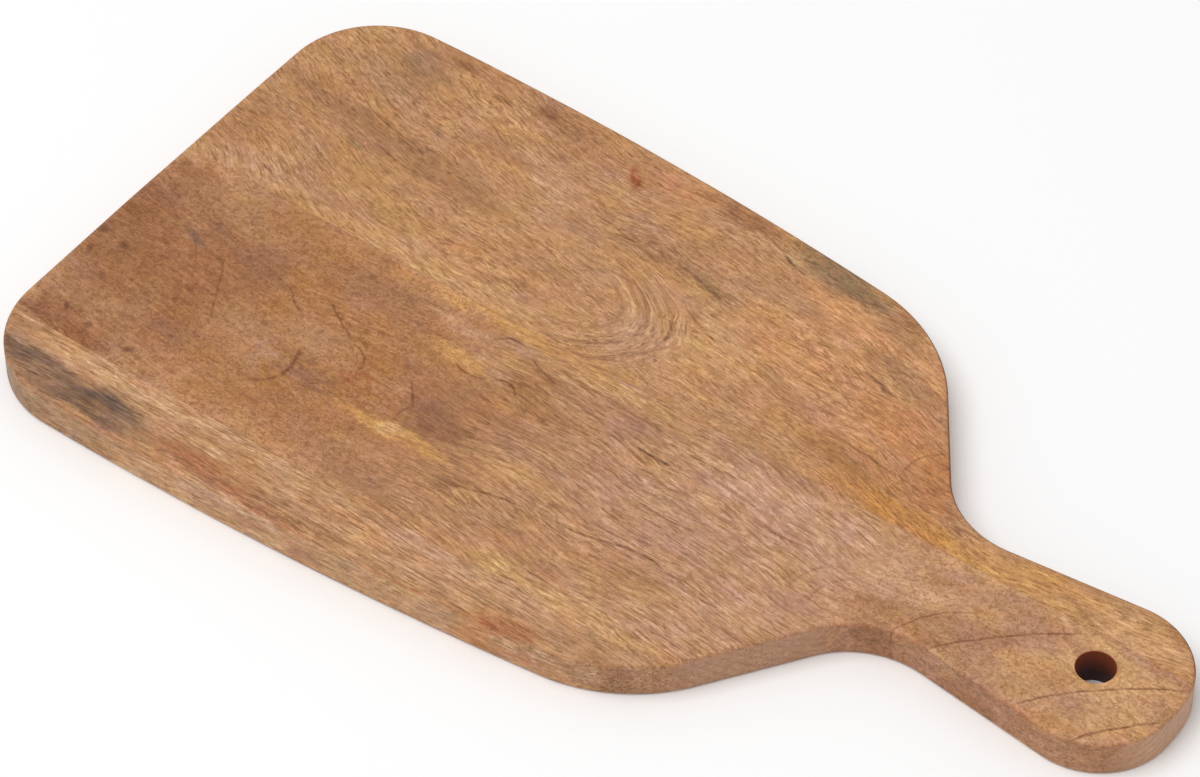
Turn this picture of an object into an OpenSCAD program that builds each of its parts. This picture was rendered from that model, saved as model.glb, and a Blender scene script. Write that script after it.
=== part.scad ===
// Paddle serving board: three edge-glued staves cut to one outline, with a hanging hole.
// The origin is under the middle of the board. +X runs to the handle tip and +Z is up.
// Lengths are in millimetres. Stations are measured along X from the far end of the blade.
// The outline is a ring of guide corners, and each corner is rounded by its own arc.

/* [Board] */
// Overall length, from the far end to the handle tip
board_l = 400; // [385:5:440]
// Overall width of the blade at its widest
blade_w = 210; // [190:1:230]
// Thickness
board_t = 14; // [8:0.5:24]
// Radius that eases every outer edge
edge_r = 1.5; // [0.5:0.1:3]

/* [Blade outline] */
// How far the far end bulges, from its corners to its middle
end_bow = 1.1; // [0.5:0.1:2]
// Radius of the far end's bulge
end_r = 5200; // [3000:100:5600]
// Radius of the two far corners
far_corner_r = 34.7; // [20:0.1:36]
// Station where the long sides start to taper toward the shoulders
side_station = 130; // [125:1:140]
// Radius of the gentle bend in the long sides
side_r = 1400; // [800:10:1450]
// How far the far corners draw in from the line of the bend
far_corner_drop = 2; // [1:0.1:2.4]
// Station of the shoulders' guide corners
shoulder_station = 254.4; // [245:0.1:262]
// How far the shoulders draw in from the line of the bend
shoulder_drop = 14.4; // [10:0.1:15]
// Radius of the shoulders
shoulder_r = 60.5; // [40:0.1:65]

/* [Handle outline] */
// Station of the neck's guide corners
neck_station = 303.3; // [298:0.1:310]
// Half width at the neck's guide corners
neck_half = 22.4; // [20:0.1:26]
// Radius of the hollow where the neck meets the blade
neck_r = 33; // [20:0.1:40]
// Half width at the tip's guide corners
tip_half = 32.9; // [31.5:0.1:36]
// Radius of the two tip corners
tip_corner_r = 26.7; // [20:0.1:27]
// How far the tip bulges, from its corners to its middle
tip_bow = 2.2; // [1.5:0.1:2.6]
// Radius of the tip's bulge
tip_r = 60; // [30:1:62]

/* [Hanging hole] */
// Diameter of the hole
hole_d = 12.7; // [8:0.1:16]
// Distance from the handle tip to the hole's centre
hole_inset = 29.6; // [24:0.1:40]

/* [Staves] */
// Distance of the far glue line from the board's middle line
far_seam = 11.6; // [10:0.1:18]
// Distance of the near glue line from the board's middle line
near_seam = 80; // [60:0.5:90]
// Thickness of the glue in each joint
glue_t = 0.15; // [0.1:0.01:0.4]

/* [Hidden] */

// Cuts run past the faces that they open by this much.
overrun = board_t / 7;
// Arcs are drawn in steps of at most this angle, and of at most this length.
arc_step = 4.5;
longest_step = board_l / 16;
// Steps that round over an edge
edge_steps = 4;
hole_fn = 96;

// The arc at a bulge stays inside its guide corner by this much, so the guide corner moves out by as
// much to keep the overall length.
function bulge_gap(bow, half, r) = r / cos(atan2(bow, half)) - r;

far_slope = atan2(far_corner_drop, side_station);
taper_slope = atan2(-shoulder_drop, shoulder_station - side_station);
side_half_turn = (far_slope - taper_slope) / 2;
side_mean_slope = (far_slope + taper_slope) / 2;
side_half = blade_w / 2 + side_r * (cos(side_mean_slope) / cos(side_half_turn) - 1);
far_corner_half = side_half - far_corner_drop;

far_end_x = -board_l / 2 - bulge_gap(end_bow, far_corner_half, end_r);
tip_x = board_l / 2 + bulge_gap(tip_bow, tip_half, tip_r);
hole_x = board_l / 2 - hole_inset;

function at_station(station) = station - board_l / 2;

// Guide corners [x, y, radius], anticlockwise round the +Y half from the tip to the far end, so the
// wood is on the left. The first and last lie just across the middle line, as the mirror has them.
tip_corner = [tip_x - tip_bow, tip_half, tip_corner_r];
far_corner = [far_end_x + end_bow, far_corner_half, far_corner_r];
corners = [
  [tip_corner[0], -tip_corner[1], tip_corner_r],
  [tip_x, 0, tip_r],
  tip_corner,
  [at_station(neck_station), neck_half, neck_r],
  [at_station(shoulder_station), side_half - shoulder_drop, shoulder_r],
  [at_station(side_station), side_half, side_r],
  far_corner,
  [far_end_x, 0, end_r],
  [far_corner[0], -far_corner[1], far_corner_r]
];
tip_middle = 1;
far_middle = len(corners) - 2;

// Plane geometry of guide corner i
function place(i) = [corners[i][0], corners[i][1]];
function radius(i) = corners[i][2];
function toward(a, b) = (b - a) / norm(b - a);
function left_of(d) = [-d[1], d[0]];
function way_in(i) = toward(place(i - 1), place(i));
function way_out(i) = toward(place(i), place(i + 1));
function turn(i) =
  let (u = way_in(i), v = way_out(i)) atan2(u[0] * v[1] - u[1] * v[0], u * v);
function arc_start(i) = place(i) - way_in(i) * radius(i) * tan(abs(turn(i)) / 2);
function arc_centre(i) = arc_start(i) + left_of(way_in(i)) * radius(i) * sign(turn(i));
function arc_steps(i) = ceil(max(
  abs(turn(i)) / arc_step,
  abs(turn(i)) * PI / 180 * radius(i) / longest_step
));

// A point of the outline: the given share of the way round corner i's arc, set in from the rim.
function outline_point(i, share, inset) =
  let (
    spoke = arc_start(i) - arc_centre(i),
    angle = atan2(spoke[1], spoke[0]) + turn(i) * share,
    reach = radius(i) - sign(turn(i)) * inset
  )
  arc_centre(i) + reach * [cos(angle), sin(angle)];

// Half of the outline, from the tip's middle to the far end's middle, as [corner, share] pairs. The
// two bulges straddle the middle line, so only half of each arc is used.
function arc_pairs(i, first, last) =
  let (count = ceil(arc_steps(i) * (last - first)))
  [for (k = [0:count]) [i, first + (last - first) * k / count]];
half_pairs = concat(
  arc_pairs(tip_middle, 1 / 2, 1),
  [for (i = [tip_middle + 1:far_middle - 1]) each arc_pairs(i, 0, 1)],
  arc_pairs(far_middle, 0, 1 / 2)
);
half_count = len(half_pairs);
ring_count = 2 * half_count - 2;

// The whole ring at one level: the half outline, then its mirror image back to the start
function ring(inset, z) =
  let (half = [for (pair = half_pairs) outline_point(pair[0], pair[1], inset)])
  [for (j = [0:ring_count - 1])
    let (p = half[j < half_count ? j : ring_count - j])
    [p[0], j < half_count ? p[1] : -p[1], z]];

// Levels as [inset, height]: a round-over at the bottom, then the same at the top
bottom_levels = [for (k = [0:edge_steps])
  let (a = 90 * k / edge_steps) [edge_r * (1 - sin(a)), edge_r * (1 - cos(a))]];
levels = concat(
  bottom_levels,
  [for (k = [edge_steps:-1:0]) [bottom_levels[k][0], board_t - bottom_levels[k][1]]]
);
level_count = len(levels);

function index(level, j) = level * ring_count + j % ring_count;
function across(j) = (ring_count - j) % ring_count;

wall_faces = [for (n = [0:level_count - 2]) for (j = [0:ring_count - 1])
  [index(n, j), index(n + 1, j), index(n + 1, j + 1), index(n, j + 1)]];

// Each flat face is a row of slices across the board, with a triangle at the tip and the far end.
function slice(level, j) = [
  index(level, j), index(level, j + 1), index(level, across(j + 1)), index(level, across(j))
];
function tip_slice(level) = [index(level, 0), index(level, 1), index(level, across(1))];
function far_slice(level) = let (j = half_count - 1)
  [index(level, j), index(level, j + 1), index(level, j - 1)];
function flat_face(level) = concat(
  [tip_slice(level)],
  [for (j = [1:half_count - 3]) slice(level, j)],
  [far_slice(level)]
);
function reversed(face) = [for (k = [len(face) - 1:-1:0]) face[k]];

module whole_board() {
  polyhedron(
    points = [for (level = levels) each ring(level[0], level[1])],
    faces = concat(
      wall_faces,
      flat_face(0),
      [for (face = flat_face(level_count - 1)) reversed(face)]
    )
  );
}

// The part of the board whose y lies between two values
module strip(y_from, y_to) {
  intersection() {
    whole_board();
    translate([-board_l / 2 - overrun, y_from, -overrun])
      cube([board_l + 2 * overrun, y_to - y_from, board_t + 2 * overrun]);
  }
}

module hanging_hole() {
  translate([hole_x, 0, -overrun])
    cylinder(d = hole_d, h = board_t + 2 * overrun, $fn = hole_fn);
}

module stave_far() {
  color("tan")
    strip(far_seam + glue_t / 2, blade_w);
}

module stave_middle() {
  color("peru")
    difference() {
      strip(glue_t / 2 - near_seam, far_seam - glue_t / 2);
      hanging_hole();
    }
}

module stave_near() {
  color("burlywood")
    strip(-blade_w, -near_seam - glue_t / 2);
}

module glue_line_far() {
  color("saddlebrown")
    strip(far_seam - glue_t / 2, far_seam + glue_t / 2);
}

module glue_line_near() {
  color("saddlebrown")
    strip(-near_seam - glue_t / 2, glue_t / 2 - near_seam);
}

stave_far();
stave_middle();
stave_near();
glue_line_far();
glue_line_near();
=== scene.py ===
import math

import bmesh
import bpy
from mathutils import Matrix, Vector
from mathutils import noise as field


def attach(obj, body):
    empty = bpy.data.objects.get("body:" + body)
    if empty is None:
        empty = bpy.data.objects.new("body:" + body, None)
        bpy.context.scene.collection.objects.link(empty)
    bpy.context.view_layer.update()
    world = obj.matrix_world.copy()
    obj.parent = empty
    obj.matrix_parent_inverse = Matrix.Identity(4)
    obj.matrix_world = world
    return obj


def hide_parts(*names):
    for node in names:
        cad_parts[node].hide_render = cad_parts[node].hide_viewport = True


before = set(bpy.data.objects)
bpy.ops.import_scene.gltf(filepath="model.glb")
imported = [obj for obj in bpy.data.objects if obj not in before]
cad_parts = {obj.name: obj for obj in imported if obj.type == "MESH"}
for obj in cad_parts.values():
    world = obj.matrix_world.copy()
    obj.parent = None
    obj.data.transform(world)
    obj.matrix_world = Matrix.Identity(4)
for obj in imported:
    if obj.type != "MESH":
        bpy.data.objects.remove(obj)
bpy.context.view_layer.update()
MM = 0.001
FINE = 1e-9

# Outline of the board, as in the solid model. Stations are measured from the far end of the blade.
BOARD_L = 400.0
BLADE_W = 210.0
BOARD_T = 14.0
EDGE_R = 1.5
END_BOW, END_R, FAR_CORNER_R = 1.1, 5200.0, 34.7
SIDE_STATION, SIDE_R, FAR_CORNER_DROP = 130.0, 1400.0, 2.0
SHOULDER_STATION, SHOULDER_DROP, SHOULDER_R = 254.4, 14.4, 60.5
NECK_STATION, NECK_HALF, NECK_R = 303.3, 22.4, 33.0
TIP_HALF, TIP_CORNER_R, TIP_BOW, TIP_R = 32.9, 26.7, 2.2, 60.0
HOLE_D, HOLE_INSET = 12.7, 29.6
FAR_SEAM, NEAR_SEAM, GLUE_T = 11.6, 80.0, 0.15

# The dressed outline has finer steps than the solid, and a sander's small unevenness, always inward.
# Angles are in degrees, and an edge that turns by more than CREASE stays crisp.
ARC_STEP = 1.6
LONGEST_STEP = 2.5
EDGE_STEPS = 6
UNEVEN_ROUND_OVER = 0.16
UNEVEN_WAVE = 34
SANDED_IN = 0.09
SANDED_WAVE, SANDED_WAVE_UP = 26, 9
HOLE_SIDES = 96
HOLE_EASE = 0.4
HOLE_EASE_STEPS = 5
CREASE = 40.0

# Each zone of the length, from x to x, has a material of its own for every stave that it holds.
ZONES = ((-200, -140), (-140, -80), (-80, -30), (-30, 20), (20, 95), (95, 200))


def bulge_gap(bow, half, r):
    """How far an arc stays inside the guide corner of a bulge."""
    return r / math.cos(math.atan2(bow, half)) - r


def guide_corners():
    """Corners (x, y, radius) round the +Y half, from just across the middle line at each end."""
    far_slope = math.atan2(FAR_CORNER_DROP, SIDE_STATION)
    taper = math.atan2(-SHOULDER_DROP, SHOULDER_STATION - SIDE_STATION)
    half_turn, mean = (far_slope - taper) / 2, (far_slope + taper) / 2
    side_half = BLADE_W / 2 + SIDE_R * (math.cos(mean) / math.cos(half_turn) - 1)
    far_half = side_half - FAR_CORNER_DROP
    far_end = -BOARD_L / 2 - bulge_gap(END_BOW, far_half, END_R)
    tip = BOARD_L / 2 + bulge_gap(TIP_BOW, TIP_HALF, TIP_R)
    start = -BOARD_L / 2
    return [
        (tip - TIP_BOW, -TIP_HALF, TIP_CORNER_R),
        (tip, 0.0, TIP_R),
        (tip - TIP_BOW, TIP_HALF, TIP_CORNER_R),
        (start + NECK_STATION, NECK_HALF, NECK_R),
        (start + SHOULDER_STATION, side_half - SHOULDER_DROP, SHOULDER_R),
        (start + SIDE_STATION, side_half, SIDE_R),
        (far_end + END_BOW, far_half, FAR_CORNER_R),
        (far_end, 0.0, END_R),
        (far_end + END_BOW, -far_half, FAR_CORNER_R),
    ]


class Arc:
    """The arc that rounds one guide corner."""

    def __init__(self, before, corner, after):
        here = Vector(corner[:2])
        way_in = (here - Vector(before[:2])).normalized()
        way_out = (Vector(after[:2]) - here).normalized()
        self.radius = corner[2]
        self.turn = math.atan2(way_in.x * way_out.y - way_in.y * way_out.x, way_in.dot(way_out))
        self.side = math.copysign(1.0, self.turn)
        start = here - way_in * self.radius * math.tan(abs(self.turn) / 2)
        self.centre = start + Vector((-way_in.y, way_in.x)) * self.radius * self.side
        spoke = start - self.centre
        self.angle = math.atan2(spoke.y, spoke.x)

    def steps(self, first, last):
        swept = abs(self.turn) * (last - first)
        return max(2, math.ceil(max(swept / math.radians(ARC_STEP), swept * self.radius / LONGEST_STEP)))

    def point(self, share, inset):
        angle = self.angle + self.turn * share
        reach = self.radius - self.side * inset
        return self.centre + reach * Vector((math.cos(angle), math.sin(angle)))


def half_outline():
    """(arc, share) pairs from the tip's middle to the far end's middle, straight runs divided too."""
    corners = guide_corners()
    arcs = [Arc(*corners[i - 1:i + 2]) for i in range(1, len(corners) - 1)]
    stops = []
    for n, arc in enumerate(arcs):
        first = 0.5 if n == 0 else 0.0
        last = 0.5 if n == len(arcs) - 1 else 1.0
        count = arc.steps(first, last)
        stops += [(arc, first + (last - first) * k / count) for k in range(count + 1)]
    return stops


def ring_points(stops, inset_at, z_at):
    """The whole ring at one level: the half outline, then its mirror image back to the start."""
    half = [(arc.point(share, 0.0), arc, share) for arc, share in stops]
    ring = []
    for way, part in ((1, half), (-1, half[-2:0:-1])):
        for rim, arc, share in part:
            here = Vector((rim.x, way * rim.y))
            p = arc.point(share, inset_at(here))
            ring.append(Vector((p.x, way * p.y, z_at(here))))
    return ring


def ease_radius(rim):
    """Radius of the round-over at a point of the rim."""
    return EDGE_R * (1 + UNEVEN_ROUND_OVER * field.noise(Vector((rim.x, rim.y, 0)) / UNEVEN_WAVE))


def sanded(rim, height):
    """How far the sander took the side in at a point."""
    wave = field.noise(Vector((rim.x / SANDED_WAVE, rim.y / SANDED_WAVE, height / SANDED_WAVE_UP)))
    return SANDED_IN * (0.5 + 0.5 * wave)


def board_levels():
    """(inset, height) functions of the rings, from the underside up."""
    turns = [math.radians(90 * k / EDGE_STEPS) for k in range(EDGE_STEPS + 1)]

    def ring_of(turn, from_top):
        def z_at(rim):
            rise = ease_radius(rim) * (1 - math.cos(turn))
            return BOARD_T - rise if from_top else rise

        def inset_at(rim):
            return ease_radius(rim) * (1 - math.sin(turn)) + sanded(rim, z_at(rim))

        return inset_at, z_at

    bottom = [ring_of(turn, False) for turn in turns]
    middle = [(lambda rim: sanded(rim, BOARD_T / 2), lambda rim: BOARD_T / 2)]
    return bottom + middle + [ring_of(turn, True) for turn in reversed(turns)]


def whole_board():
    """The plank as one closed bmesh, in millimetres, before it is parted at the glue lines."""
    stops = half_outline()
    rings = [ring_points(stops, inset_at, z_at) for inset_at, z_at in board_levels()]
    count = len(rings[0])
    bm = bmesh.new()
    verts = [[bm.verts.new(p) for p in ring] for ring in rings]
    for low, high in zip(verts, verts[1:]):
        for j in range(count):
            k = (j + 1) % count
            bm.faces.new((low[j], low[k], high[k], high[j]))
    for ring, up in ((verts[0], False), (verts[-1], True)):
        bm.faces.new(ring if up else ring[::-1])
    bmesh.ops.recalc_face_normals(bm, faces=bm.faces[:])
    return bm


def part_at(bm, y, keep_above):
    """Cuts the plank along one glue face, drops the other side and closes the cut."""
    way = -1 if keep_above else 1
    everything = bm.verts[:] + bm.edges[:] + bm.faces[:]
    cut = bmesh.ops.bisect_plane(
        bm, geom=everything, dist=FINE, plane_co=(0, y, 0), plane_no=(0, way, 0), clear_outer=True
    )
    rim = [e for e in cut["geom_cut"] if isinstance(e, bmesh.types.BMEdge)]
    bmesh.ops.edgenet_fill(bm, edges=rim)


def mesh_object(name, bm):
    """Turns a bmesh in millimetres into a scene object in metres."""
    bmesh.ops.recalc_face_normals(bm, faces=bm.faces[:])
    bm.transform(Matrix.Scale(MM, 4))
    mesh = bpy.data.meshes.new(name)
    bm.to_mesh(mesh)
    bm.free()
    piece = bpy.data.objects.new(name, mesh)
    bpy.context.scene.collection.objects.link(piece)
    return piece


def hole_cutter():
    """The drill's shape: a straight bore whose two mouths are eased by sanding."""
    radius = HOLE_D / 2
    side = []
    for k in range(HOLE_EASE_STEPS + 1):
        turn = math.radians(90 * k / HOLE_EASE_STEPS)
        side.append((radius + HOLE_EASE * (1 - math.cos(turn)), HOLE_EASE * (1 - math.sin(turn))))
    profile = [(radius + HOLE_EASE, -BOARD_T)] + side[::-1]
    profile += [(r, BOARD_T - z) for r, z in side] + [(radius + HOLE_EASE, 2 * BOARD_T)]
    bm = bmesh.new()
    rings = []
    for r, z in profile:
        ring = []
        for k in range(HOLE_SIDES):
            angle = 2 * math.pi * k / HOLE_SIDES
            x = BOARD_L / 2 - HOLE_INSET + r * math.cos(angle)
            ring.append(bm.verts.new((x, r * math.sin(angle), z)))
        rings.append(ring)
    for low, high in zip(rings, rings[1:]):
        for j in range(HOLE_SIDES):
            k = (j + 1) % HOLE_SIDES
            bm.faces.new((low[j], low[k], high[k], high[j]))
    bm.faces.new(rings[0][::-1])
    bm.faces.new(rings[-1])
    return mesh_object("hole_cutter", bm)


def bake_modifiers(piece):
    """Replaces a piece's mesh by the result of its modifiers."""
    graph = bpy.context.evaluated_depsgraph_get()
    mesh = bpy.data.meshes.new_from_object(piece.evaluated_get(graph), depsgraph=graph)
    piece.modifiers.clear()
    piece.data = mesh


def bore(piece):
    """Drills the hanging hole."""
    cutter = hole_cutter()
    modifier = piece.modifiers.new("hanging_hole", "BOOLEAN")
    modifier.operation = "DIFFERENCE"
    modifier.solver = "EXACT"
    modifier.object = cutter
    bake_modifiers(piece)
    bpy.data.objects.remove(cutter)


def smooth_shading(piece):
    """Soft shading across the round-overs, flat faces kept flat, and the glue faces left crisp."""
    mesh = piece.data
    mesh.shade_smooth()
    bm = bmesh.new()
    bm.from_mesh(mesh)
    for edge in bm.edges:
        edge.smooth = len(edge.link_faces) == 2 and edge.calc_face_angle() < math.radians(CREASE)
    bm.to_mesh(mesh)
    bm.free()
    modifier = piece.modifiers.new("flat_faces", "WEIGHTED_NORMAL")
    modifier.keep_sharp = True
    bake_modifiers(piece)


def score_zones(bm):
    """Adds edges where one zone's figure hands over to the next, so that no face lies in both."""
    for _, x_to in ZONES[:-1]:
        everything = bm.verts[:] + bm.edges[:] + bm.faces[:]
        bmesh.ops.bisect_plane(
            bm, geom=everything, dist=FINE, plane_co=(x_to, 0, 0), plane_no=(1, 0, 0)
        )


def zone_of(x):
    return next((n for n, (_, x_to) in enumerate(ZONES) if x < x_to), len(ZONES) - 1)


def paint(piece, name, look):
    """One material per zone. They share their grain, and each holds the features that reach it."""
    mesh = piece.data
    mesh.materials.clear()
    used = sorted({zone_of(face.center.x / MM) for face in mesh.polygons})
    for zone in used:
        mesh.materials.append(Wood(f"{name}_grain_{zone + 1}", look, ZONES[zone]).material)
    for face in mesh.polygons:
        face.material_index = used.index(zone_of(face.center.x / MM))


def stave(name, y_from, y_to, drilled):
    """One stave of the plank, between its glue faces. None stands for the plank's own long side."""
    bm = whole_board()
    score_zones(bm)
    if y_from is not None:
        part_at(bm, y_from, True)
    if y_to is not None:
        part_at(bm, y_to, False)
    piece = mesh_object(name, bm)
    if drilled:
        bore(piece)
    smooth_shading(piece)
    return piece


# Tones of the wood, as sRGB out of 255
TONES = {
    "tan": (184, 138, 98),
    "sand": (200, 152, 108),
    "rose": (208, 163, 130),
    "pink_brown": (184, 139, 112),
    "cream": (226, 186, 142),
    "honey": (190, 142, 90),
    "straw": (212, 164, 110),
    "yellow": (212, 158, 92),
    "peach": (214, 156, 108),
    "orange": (204, 140, 92),
    "copper": (186, 116, 66),
    "amber": (200, 137, 70),
    "ochre": (174, 122, 74),
    "sienna": (159, 103, 51),
    "rust": (160, 84, 50),
    "russet": (150, 97, 59),
    "brick": (138, 86, 52),
    "brown": (158, 110, 71),
    "sepia": (112, 60, 26),
    "umber": (86, 44, 18),
    "mauve": (161, 113, 80),
    "plum": (146, 99, 70),
    "grey_tan": (170, 132, 100),
    "olive": (136, 110, 78),
    "grey": (124, 94, 73),
    "blue_grey": (111, 87, 72),
    "slate": (96, 74, 64),
    "end_grain": (202, 162, 135),
    "burnt": (136, 66, 38),
    "char": (66, 33, 25),
    "dark_glue": (128, 84, 50),
    "pale_glue": (172, 122, 76),
}


def linear(tone):
    """An sRGB tone, or the name of one, as the linear colour that a shader takes."""
    def channel(value):
        value /= 255
        return value / 12.92 if value <= 0.04045 else ((value + 0.055) / 1.055) ** 2.4
    return tuple(channel(c) for c in TONES.get(tone, tone)) + (1.0,)


class Graph:
    """Builds the nodes of a material or of the world. Each call adds a node and returns the output
    that matters."""

    def __init__(self, owner):
        owner.use_nodes = True
        self.tree = owner.node_tree
        self.tree.nodes.clear()

    def add(self, kind, inputs, out=0, **settings):
        node = self.tree.nodes.new("ShaderNode" + kind)
        for key, value in settings.items():
            setattr(node, key, value)
        for key, value in inputs.items():
            if isinstance(value, bpy.types.NodeSocket):
                self.tree.links.new(value, node.inputs[key])
            else:
                node.inputs[key].default_value = value
        return node.outputs[out] if node.outputs else None

    def math(self, operation, a, b=0.0):
        return self.add("Math", {0: a, 1: b}, operation=operation)

    def plus(self, a, b):
        return self.math("ADD", a, b)

    def minus(self, a, b):
        return self.math("SUBTRACT", a, b)

    def times(self, a, b):
        return self.math("MULTIPLY", a, b)

    def vector(self, operation, a, b=(0.0, 0.0, 0.0)):
        return self.add("VectorMath", {0: a, 1: b}, operation=operation)

    def length(self, a):
        return self.add("VectorMath", {0: a}, out="Value", operation="LENGTH")

    def ramp(self, value, start, end, low=0.0, high=1.0):
        """Smooth step of value from low at start to high at end."""
        return self.add(
            "MapRange",
            {"Value": value, "From Min": start, "From Max": end, "To Min": low, "To Max": high},
            interpolation_type="SMOOTHSTEP",
        )

    def noise(self, where, scales, detail=2.0, roughness=0.5, distortion=0.0, colour=False):
        """Noise read at a place, with its own scale in each direction."""
        inputs = {
            "Vector": self.vector("MULTIPLY", where, scales), "Scale": 1.0,
            "Detail": detail, "Roughness": roughness, "Distortion": distortion,
        }
        return self.add("TexNoise", inputs, out=1 if colour else 0, noise_dimensions="3D")

    def wander(self, where, scales, reach, **settings):
        """A small shift in every direction, which drifts from place to place."""
        noise = self.noise(where, scales, colour=True, **settings)
        return self.vector("MULTIPLY", self.vector("SUBTRACT", noise, (0.5, 0.5, 0.5)), reach)

    def mix(self, factor, a, b, blend="MIX"):
        """Mixes two colours, which the node takes at inputs 6 and 7 and gives at output 2."""
        return self.add(
            "Mix", {0: factor, 6: a, 7: b}, out=2,
            data_type="RGBA", blend_type=blend, clamp_factor=True,
        )

    def local(self, where, x, y, along, across, lean):
        """Coordinates in an ellipse that lies in the board's plane: 1 is its rim."""
        return self.add(
            "Mapping",
            {"Vector": where, "Location": (x, y, 0), "Rotation": (0, 0, math.radians(lean)),
             "Scale": (along, across, 1)},
            vector_type="TEXTURE",
        )

    def millimetres(self):
        """The place on the piece, in millimetres in the board's frame."""
        return self.vector("MULTIPLY", self.add("TexCoord", {}, out="Object"), (1 / MM, 1 / MM, 1 / MM))

    def surface(self, inputs):
        """Ends the material with a plain surface."""
        self.add("OutputMaterial", {"Surface": self.add("BsdfPrincipled", inputs)})


# Three points count as no straighter than this, so that their circle stays finite.
NEARLY_STRAIGHT = 0.5

# A line keeps its strength over this share of its length. A ring's half width is a share of the gap
# between two rings, and a set of rings comes up near its middle and dies away at its rim.
LINE_BODY = 0.6
RING_WIDTH, RINGS_BEGIN, RINGS_END = 0.22, (0.2, 0.6), (1.12, 0.98)

# The rings show on one side only, and these are cosines of the angle away from it.
RINGS_FACING = (0.1, 0.8)


def circle_through(a, b, c):
    """Centre and radius of the circle through three points of the plane."""
    (ax, ay), (bx, by), (cx, cy) = a, b, c
    d = 2 * (ax * (by - cy) + bx * (cy - ay) + cx * (ay - by))
    if abs(d) < NEARLY_STRAIGHT:
        d = math.copysign(NEARLY_STRAIGHT, d)
    x = ((ax * ax + ay * ay) * (by - cy) + (bx * bx + by * by) * (cy - ay)
         + (cx * cx + cy * cy) * (ay - by)) / d
    y = ((ax * ax + ay * ay) * (cx - bx) + (bx * bx + by * by) * (ax - cx)
         + (cx * cx + cy * cy) * (bx - ax)) / d
    return x, y, math.hypot(bx - x, by - y)


def stroke(g, where, start, middle, end, width):
    """How strongly a thin curved line through three points shows, tapered at both ends."""
    x, y, radius = circle_through(start, middle, end)
    lean = math.degrees(math.atan2(middle[1] - y, middle[0] - x))
    reach = math.dist(start, end) / 2
    place = g.local(where, x, y, radius, radius, lean)
    off = g.math("ABSOLUTE", g.minus(g.length(place), 1.0))
    line = g.ramp(off, width / radius, 0.0)
    sideways = g.add("SeparateXYZ", {0: place}, out=1)
    ends = g.ramp(g.math("ABSOLUTE", sideways), reach / radius, LINE_BODY * reach / radius)
    shown = g.times(line, ends)
    if 2 * radius < BOARD_L:
        front = g.add("SeparateXYZ", {0: place}, out=0)
        shown = g.times(shown, g.math("GREATER_THAN", front, 0.0))
    return shown


def ring_set(g, where, x, y, along, wide, lean, count, facing):
    """Thin growth rings round a point: how strongly they show, most on the side that faces a way."""
    place = g.local(where, x, y, along, wide, lean)
    out = g.length(place)
    phase = g.math("FRACT", g.times(out, count))
    line = g.ramp(g.math("ABSOLUTE", g.minus(phase, 0.5)), RING_WIDTH, 0.0)
    fade = g.times(g.ramp(out, *RINGS_BEGIN), g.ramp(out, *RINGS_END))
    way = (math.cos(math.radians(facing)), math.sin(math.radians(facing)), 0)
    toward = g.add("VectorMath", {0: place, 1: way}, out="Value", operation="DOT_PRODUCT")
    toward = g.math("DIVIDE", toward, out)
    return g.times(g.times(line, fade), g.ramp(toward, *RINGS_FACING))


# How the coordinates run round an arch: their skew, where they take over from the straight ones,
# and their share at most. The inside and the rim of the arch are shares of its half width.
ARCH_SKEW, ARCH_LEAD, ARCH_LAG, ARCH_SHARE = 1.4, 25, 2, 0.85
ARCH_INSIDE, ARCH_RIM = (0.3, 0.7), 1.3


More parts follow.
